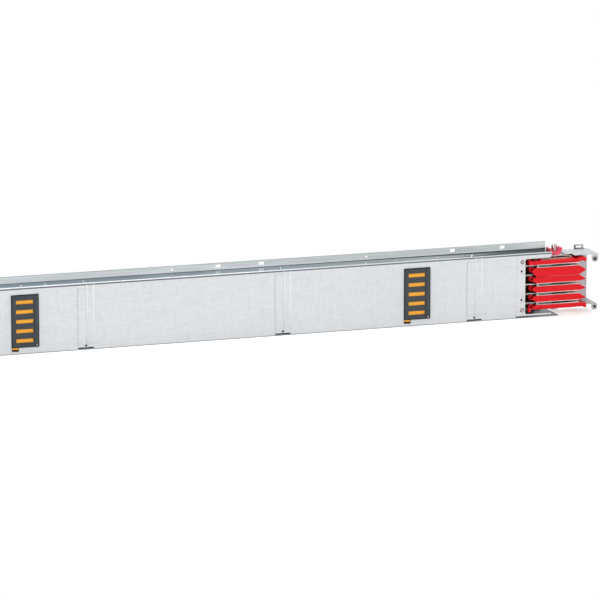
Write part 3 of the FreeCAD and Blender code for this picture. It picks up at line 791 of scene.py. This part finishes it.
class BUSWAY_OT_stage(bpy.types.Operator):
    """Add the pale floor, the studio lamps and the white surroundings"""
    bl_idname = "busway.stage"
    bl_label = "Stage"

    def execute(self, context):
        bm = bmesh.new()
        bmesh.ops.create_grid(bm, x_segments=1, y_segments=1, size=60)
        mesh = bpy.data.meshes.new("floor")
        bm.to_mesh(mesh)
        bm.free()
        floor = bpy.data.objects.new("floor", mesh)
        context.scene.collection.objects.link(floor)
        mesh.materials.append(self.floor_material())
        self.surroundings(context)
        light = context.scene.busway_light
        self.lamp(context, "key", (-3.0, -5.0, 3.9), (0.2, 0, 0.1), 2.4, light.key)
        self.lamp(context, "top", (0.8, 1.2, 4.2), (0.2, 0, 0.1), 3.0, light.top)
        self.lamp(context, "side", (4.2, -4.6, 1.8), (0.9, 0, 0.1), 2.4, light.side)
        context.scene.view_settings.view_transform = "Standard"
        return {"FINISHED"}

    def floor_material(self):
        """Pale floor that turns plain white to the camera some way off the section."""
        material, tree, shader = blank("pale_floor", 0.1)
        shader.inputs["Base Color"].default_value = (0.8, 0.8, 0.8, 1)
        shader.inputs["Roughness"].default_value = 0.9
        place = coordinates(tree, object_place(tree))
        past_end = maths(tree, "MAXIMUM", maths(tree, "SUBTRACT", maths(
            tree, "ABSOLUTE", place["X"]), 1.0), 0.0)
        away = maths(tree, "SQRT", maths(tree, "ADD", maths(tree, "POWER", past_end, 2.0),
                                         maths(tree, "POWER", place["Y"], 2.0)))
        rays = tree.nodes.new("ShaderNodeLightPath").outputs
        seen = maths(tree, "MAXIMUM", rays["Is Camera Ray"], rays["Is Glossy Ray"])
        glow = self.emission(tree, 1.0)
        near = tree.nodes.new("ShaderNodeAddShader")
        tree.links.new(shader.outputs[0], near.inputs[0])
        tree.links.new(self.emission(tree, 0.48), near.inputs[1])
        shown = self.mixed_shader(tree, ranged(tree, away, 0.15, 0.8), near.outputs[0], glow)
        chosen = self.mixed_shader(tree, seen, shader.outputs[0], shown)
        tree.links.new(chosen, tree.nodes["Material Output"].inputs["Surface"])
        return material

    def emission(self, tree, strength):
        glow = tree.nodes.new("ShaderNodeEmission")
        glow.inputs["Color"].default_value = (1, 1, 1, 1)
        glow.inputs["Strength"].default_value = strength
        return glow.outputs[0]

    def mixed_shader(self, tree, amount, first, second):
        node = tree.nodes.new("ShaderNodeMixShader")
        for socket, source in zip(node.inputs, (amount, first, second)):
            tree.links.new(source, socket)
        return node.outputs[0]

    def surroundings(self, context):
        """White to the camera; mirror images show it darker behind, with one bright panel."""
        light = context.scene.busway_light
        world = bpy.data.worlds.new("surroundings")
        context.scene.world = world
        world.use_nodes = True
        tree = world.node_tree
        sky = tree.nodes["Background"]
        sky.inputs["Color"].default_value = (1, 1, 1, 1)
        rays = tree.nodes.new("ShaderNodeLightPath").outputs
        direction = coordinates(tree, tree.nodes.new("ShaderNodeTexCoord").outputs["Generated"])
        behind = ranged(tree, direction["Y"], -0.2, 0.5, light.mirrored, light.mirrored * 0.25)
        across = maths(tree, "SUBTRACT", direction["X"], times(tree, direction["Y"], 0.34))
        panel = times(tree, band(tree, across, -0.2, 0.2, 0.08),
                      ranged(tree, direction["Y"], 0.3, 0.5))
        glossy = times(tree, rays["Is Glossy Ray"], maths(tree, "MAXIMUM", behind, panel))
        seen = maths(tree, "MAXIMUM", rays["Is Camera Ray"], glossy)
        tree.links.new(maths(tree, "MAXIMUM", seen, light.fill), sky.inputs["Strength"])

    def lamp(self, context, name, place, aim, size, power):
        light = bpy.data.lights.new(name, "AREA")
        light.shape = "DISK"
        light.size = size
        light.energy = power
        lamp = bpy.data.objects.new(name, light)
        lamp.location = place
        lamp.rotation_euler = (Vector(place) - Vector(aim)).to_track_quat("Z", "Y").to_euler()
        context.scene.collection.objects.link(lamp)


# Casing

class BUSWAY_OT_casing(bpy.types.Operator):
    """Finish the sheet-metal casing and the top rail"""
    bl_idname = "busway.casing"
    bl_label = "Casing"

    def execute(self, context):
        edge = context.scene.busway_sizes.sheet_edge
        for node, material in (("front_plate", "coated_sheet"), ("back_plate", "coated_sheet"),
                               ("end_plate", "coated_sheet"), ("joint_channel", "joint_sheet"),
                               ("bottom_channel", "grey_steel"), ("top_rail", "rail_steel")):
            softened(node, material, edge)
        return {"FINISHED"}


class BUSWAY_OT_rivets(bpy.types.Operator):
    """Add the rivets along the rail, at the ribs and beside the outlets, and black plugs that stand
    in for the shade in the plate's holes
    """
    bl_idname = "busway.rivets"
    bl_label = "Rivets"

    def execute(self, context):
        sizes = context.scene.busway_sizes
        radius, high = sizes.rivet_radius / MM, sizes.rivet_high / MM
        line_y = front_y + 19 * MM
        beside_outlets = ((1, -5), (1, 56), (2, -50), (2, 58))
        places = [box_middle("bar_support_%d" % number).x for number in range(1, 5)]
        places += [box_middle("outlet_frame_%d" % number).x + away * MM
                   for number, away in beside_outlets]
        bm = bmesh.new()
        for x in places:
            head = turned([(0, 0), (radius, 0), (radius * 0.97, high * 0.3),
                           (radius * 0.8, high * 0.75), (radius * 0.45, high * 0.97),
                           (0, high)], 20)
            join_shape(bm, head, (x, line_y, flange_z))
        smoothed(add_piece("rail_rivets", bm, "section", "bright_zinc"))
        bm = bmesh.new()
        hole_x, plate_z = joint_x - 99 * MM, box_middle("end_plate").z
        for hole_z in (plate_z - 37.1 * MM, plate_z + 35.1 * MM):
            # Black plugs that stand in for the shade inside the plate's holes.
            plug = turned([(0, 0.8), (1.5, 0.7), (2.3, 0.45), (2.6, 0), (1.9, 0), (1.9, -3),
                           (0, -3)], 20)
            join_shape(bm, plug, (hole_x, front_y, hole_z), FORWARD)
        smoothed(add_piece("plate_hole_shade_plugs", bm, "section", "black_moulding"))
        return {"FINISHED"}


# Conductors

class BUSWAY_OT_conductors(bpy.types.Operator):
    """Finish the conductor bars and the combs that hold them"""
    bl_idname = "busway.conductors"
    bl_label = "Conductors"

    def execute(self, context):
        edge = context.scene.busway_sizes.bar_edge
        for number in range(1, 6):
            softened("conductor_bar_%d" % number, "bar_aluminium", edge)
        for number in range(1, 5):
            node_finish("bar_support_%d" % number, "black_moulding")
        return {"FINISHED"}


# Outlets

class BUSWAY_OT_outlets(bpy.types.Operator):
    """Make the moulded outlet frames, their orange shutters, black strips of painted shadow round
    them, and pips
    """
    bl_idname = "busway.outlets"
    bl_label = "Outlets"

    def execute(self, context):
        edge = context.scene.busway_sizes.moulded_edge
        for number in (1, 2):
            low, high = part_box("outlet_frame_%d" % number)
            dimple = Vector((high.x - 5.5 * MM, low.y, low.z + 4.5 * MM))
            self.surround(number, dimple, edge)
            softened("outlet_shutter_%d" % number, "orange_moulding",
                     edge * 0.5)
            # Black strips of painted shadow round the frame.
            self.shadow_strip(number, low, high)
            self.pip(number, dimple)
        return {"FINISHED"}

    def surround(self, number, dimple, edge):
        """Outlet frame with a round dimple for its pip."""
        node = "outlet_frame_%d" % number
        radius = 1.9 * MM
        bm = node_copy(node)
        front = front_face(bm, dimple.y)
        rim = front.edges[:]
        bmesh.ops.delete(bm, geom=[front], context="FACES_ONLY")
        turns = [math.pi * step / 8 for step in range(16)]
        corners = [bm.verts.new(dimple + radius * Vector((math.cos(turn), 0, math.sin(turn))))
                   for turn in turns]
        sink(bm, rim, corners, (0, dimple_deep, 0))
        round_edges(add_piece(node + "_finished", bm, "section",
                              "frame_moulding_%d" % number, (node,)), edge)

    def shadow_strip(self, number, low, high):
        """Thin black strip round the frame that stands in for the shadow there, open where the
        shutter's tab passes.
        """
        wide, thick = 0.8 * MM, 0.9
        tab_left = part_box("outlet_shutter_%d" % number)[0].x
        left, right = tab_left - 0.9 * MM, tab_left + 14.9 * MM
        foot = low.z - 9.3 * MM
        bm = bmesh.new()
        for x1, x2, z1, z2 in (
                (low.x - wide, low.x, low.z, high.z + wide), (low.x, high.x, high.z, high.z + wide),
                (high.x, high.x + wide, low.z - wide, high.z + wide),
                (right + wide, high.x, low.z - wide, low.z),
                (left - wide, left, foot - wide, low.z), (left, right, foot - wide, foot),
                (right, right + wide, foot - wide, low.z)):
            join_shape(bm, block((x2 - x1) / MM, (z2 - z1) / MM, thick),
                       ((x1 + x2) / 2, front_y - thick * MM / 2, (z1 + z2) / 2), FORWARD)
        round_edges(add_piece("outlet_shadow_strip_%d" % number, bm, "section",
                              "black_moulding"), 0.2 * MM)

    def pip(self, number, dimple):
        """Bright pip in the frame's dimple."""
        pip = turned([(0, 0), (1.5, 0), (1.4, 0.35), (0.7, 0.55), (0, 0.6)], 16)
        bm = placed_shape(pip, dimple + Vector((0, dimple_deep, 0)), FORWARD)
        smoothed(add_piece("outlet_pip_%d" % number, bm, "section", "bright_zinc"))


# Joint pack

class BUSWAY_OT_insulators(bpy.types.Operator):
    """Make the red insulators of the joint pack"""
    bl_idname = "busway.insulators"
    bl_label = "Insulators"

    def execute(self, context):
        edge = context.scene.busway_sizes.moulded_edge
        softened("top_insulator", "red_moulding", edge)
        tips = []
        for number in range(1, 5):
            node = "barrier_%d" % number
            bm = node_copy(node)
            front = front_face(bm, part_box(node)[0].y)
            tips.append(min(front.verts, key=lambda v: v.co.x).co.copy())
            self.bored(node, bm, tips[-1], edge)
        lowest = min(tips, key=lambda tip: tip.z)
        self.bored("bottom_insulator", node_copy("bottom_insulator"),
                   lowest - Vector((0, 0, bar_pitch)), edge)
        softened("bolt_saddle", "pink_moulding", edge)
        node_finish("bolt_sleeve", "dark_moulding")
        return {"FINISHED"}

    def bored(self, node, bm, tip, edge):
        """Insulator with a round bore in its left nose, lined by a hollow boss."""
        bore_from_tip = Vector((5.0 * MM, 0, 0.6 * MM))
        radius, deep, in_front = 5.2, 7.4, 3
        middle = tip + bore_from_tip
        bore = turned([(0, -deep), (radius, -deep), (radius, in_front), (0, in_front)], 40)
        cut_away(bm, placed_shape(bore, middle, FORWARD), edge)
        piece = add_piece(node + "_finished", bm, "section", "red_moulding",
                          (node,))
        smoothed(piece, 50)
        piece.modifiers.new("normals", "WEIGHTED_NORMAL").keep_sharp = True
        boss = turned([(0, -6.8), (4.5, -6.8), (4.6, -0.3), (4.9, 0.1), (5.8, 0.1), (6.1, -0.3),
                       (6.1, -8), (0, -8)], 40)
        smoothed(add_piece(node + "_boss", placed_shape(boss, middle, FORWARD), "section",
                           "red_moulding"))


class BUSWAY_OT_contacts(bpy.types.Operator):
    """Finish the contact plates of the joint pack and add the sleeves between them"""
    bl_idname = "busway.contacts"
    bl_label = "Contacts"

    def execute(self, context):
        edge = context.scene.busway_sizes.sheet_edge
        for number in range(1, 6):
            for side in ("lower", "upper"):
                softened("contact_%s_%d" % (side, number), "contact_silver",
                         edge)
        bm = bmesh.new()
        play, long, from_left, from_front = 0.05, 5.5, 0.6, 0.2
        for number in (1, 2, 3, 5):
            low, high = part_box("contact_lower_%d" % number)
            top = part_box("contact_upper_%d" % number)[0].z
            radius = (top - high.z) / MM / 2 - play
            inner = radius * 0.45
            tube = turned([(inner, 0), (radius * 0.8, 0), (radius, radius * 0.25),
                           (radius, long), (inner, long), (inner, 0)], 24)
            join_shape(bm, tube, (low.x + (radius + from_left) * MM, low.y + from_front * MM,
                                  (high.z + top) / 2), (0, 1, 0))
        smoothed(add_piece("contact_spacers", bm, "section", "contact_silver"))
        return {"FINISHED"}


class BUSWAY_OT_clamp(bpy.types.Operator):
    """Make the clamping bolt, its nut, the spring plate, the pressure plates and the hook"""
    bl_idname = "busway.clamp"
    bl_label = "Clamp"

    def execute(self, context):
        edge = context.scene.busway_sizes.sheet_edge
        for node in ("pressure_plate_top", "pressure_plate_bottom", "spring_plate"):
            softened(node, "spring_steel", edge)
        softened("cover_hook", "dark_steel", edge)
        self.bolt()
        self.nut()
        return {"FINISHED"}

    def bolt(self):
        """Bolt with a collar, a round head and a threaded end."""
        collar_and_head = 17.5 * MM
        seat = bolt_high.z - collar_and_head
        thread_long, collar_high = 8, 2
        top = (seat - bolt_low.z) / MM
        bm = placed_shape(turned([(0, top), (5.9, top), (5.9, thread_long), (0, thread_long)]),
                          (joint_x, bolt_y, bolt_low.z))
        join_shape(bm, threaded(5.8, thread_long, 1.5, 1.2),
                   (joint_x, bolt_y, bolt_low.z + thread_long * MM))
        collar = turned([(0, 0), (7.2, 0), (7.5, 0.4), (7.5, 1.5), (7.1, collar_high),
                         (0, collar_high)], 40)
        join_shape(bm, collar, (joint_x, bolt_y, seat))
        head = turned([(0, 0), (7, 0), (7.3, 0.5), (7.3, 10.6), (7, 12.2), (6.2, 13.6),
                       (4.9, 14.6), (3.1, 15.2), (0, 15.4)], 48)
        join_shape(bm, head, (joint_x, bolt_y, seat + collar_high * MM))
        smoothed(add_piece("joint_bolt_finished", bm, "section", "bolt_steel",
                           ("joint_bolt",)))

    def nut(self):
        low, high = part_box("bolt_nut")
        corner_radius, chamfer = 10.8, 0.6
        bm = placed_shape(prism(6, corner_radius, (high.z - low.z) / MM, chamfer),
                          (joint_x, bolt_y, low.z))
        smoothed(add_piece("bolt_nut_finished", bm, "section", "bright_zinc",
                           ("bolt_nut",)))


class BUSWAY_OT_screws(bpy.types.Operator):
    """Make the cover screws, with their washers, at both ends of the joint"""
    bl_idname = "busway.screws"
    bl_label = "Cover screws"
    washer_thick = 0.75

    def execute(self, context):
        cross = [(2.3, 0.55), (0.55, 0.55), (0.55, 2.3), (-0.55, 2.3), (-0.55, 0.55),
                 (-2.3, 0.55), (-2.3, -0.55), (-0.55, -0.55), (-0.55, -2.3), (0.55, -2.3),
                 (0.55, -0.55), (2.3, -0.55)]
        slot = [(-1, -2.9), (1, -2.9), (1, 2.9), (-1, 2.9)]
        for number in (1, 2):
            self.screw(number, 3.4, cross, "bright_zinc")
            self.washer(number, "yellow_zinc")
        for number in (3, 4):
            self.screw(number, 3.9, slot, "black_zinc")
            self.ear_ring(number)
            # The bright block under the slot is a painted highlight.
            self.washer(number, "bright_zinc", block(1.9, 5.7, 0.7))
        return {"FINISHED"}

    def place(self, number, forward=0.0):
        """Point on the screw's axis, so many millimetres in front of the end plate."""
        middle = box_middle("cover_screw_%d" % number)
        return Vector((middle.x, front_y - forward * MM, middle.z))

    def screw(self, number, radius, recess, material):
        """Screw with a recessed head and a thread."""
        name = "cover_screw_%d" % number
        bm = placed_shape(recessed_head(radius, 1.8, recess, 1.3),
                          self.place(number, self.washer_thick), FORWARD)
        join_shape(bm, threaded(2.35, 9, 0.9, 1.5), self.place(number), FORWARD)
        smoothed(add_piece(name + "_finished", bm, "section", material, (name,)))

    def washer(self, number, material, painted_slot_highlight=None):
        """Washer under a screw's head, with a bright block under the head's slot as a painted
        highlight, if given.
        """
        thick, inner = self.washer_thick, 2.6
        ring = turned([(inner, 0), (4.9, 0), (5, 0.2), (4.8, thick), (inner, thick), (inner, 0)],
                      36)
        bm = placed_shape(ring, self.place(number), FORWARD)
        if painted_slot_highlight:
            join_shape(bm, painted_slot_highlight, self.place(number, 1.7), FORWARD)
        smoothed(add_piece("cover_washer_%d" % number, bm, "section", material))

    def ear_ring(self, number):
        """Dark ring round a screw in an ear."""
        ring = turned([(6, 0), (6.9, 0), (6.8, 0.5), (6.1, 0.5), (6, 0)], 40)
        bm = placed_shape(ring, self.place(number), FORWARD)
        smoothed(add_piece("ear_ring_%d" % (number - 2), bm, "section",
                           "dark_steel"))


class BUSWAY_PT_panel(bpy.types.Panel):
    """Settings and steps of the busway section"""
    bl_idname = "BUSWAY_PT_panel"
    bl_label = "Busway"
    bl_space_type = "VIEW_3D"
    bl_region_type = "UI"
    bl_category = "Busway"

    def draw(self, context):
        layout = self.layout
        for name, _ in settings:
            group = getattr(context.scene, name)
            column = layout.column()
            for value in group.bl_rna.properties.keys():
                if value not in ("rna_type", "name"):
                    column.prop(group, value)
        for step in steps:
            layout.operator(step.bl_idname)


steps = (BUSWAY_OT_camera, BUSWAY_OT_stage, BUSWAY_OT_casing, BUSWAY_OT_rivets,
         BUSWAY_OT_conductors, BUSWAY_OT_outlets, BUSWAY_OT_insulators, BUSWAY_OT_contacts,
         BUSWAY_OT_clamp, BUSWAY_OT_screws)
settings = (("busway_finish", BuswayFinish), ("busway_sizes", BuswaySizes),
            ("busway_view", BuswayView), ("busway_light", BuswayLight))


def register():
    for name, group in settings:
        bpy.utils.register_class(group)
        setattr(bpy.types.Scene, name, bpy.props.PointerProperty(type=group))
    for step in steps:
        bpy.utils.register_class(step)
    bpy.utils.register_class(BUSWAY_PT_panel)


def unregister():
    bpy.utils.unregister_class(BUSWAY_PT_panel)
    for step in reversed(steps):
        bpy.utils.unregister_class(step)
    for name, group in reversed(settings):
        delattr(bpy.types.Scene, name)
        bpy.utils.unregister_class(group)


def main():
    register()
    bpy.ops.busway.camera()
    bpy.ops.busway.stage()
    bpy.ops.busway.casing()
    bpy.ops.busway.rivets()
    bpy.ops.busway.conductors()
    bpy.ops.busway.outlets()
    bpy.ops.busway.insulators()
    bpy.ops.busway.contacts()
    bpy.ops.busway.clamp()
    bpy.ops.busway.screws()


if __name__ == "__main__":
    main()
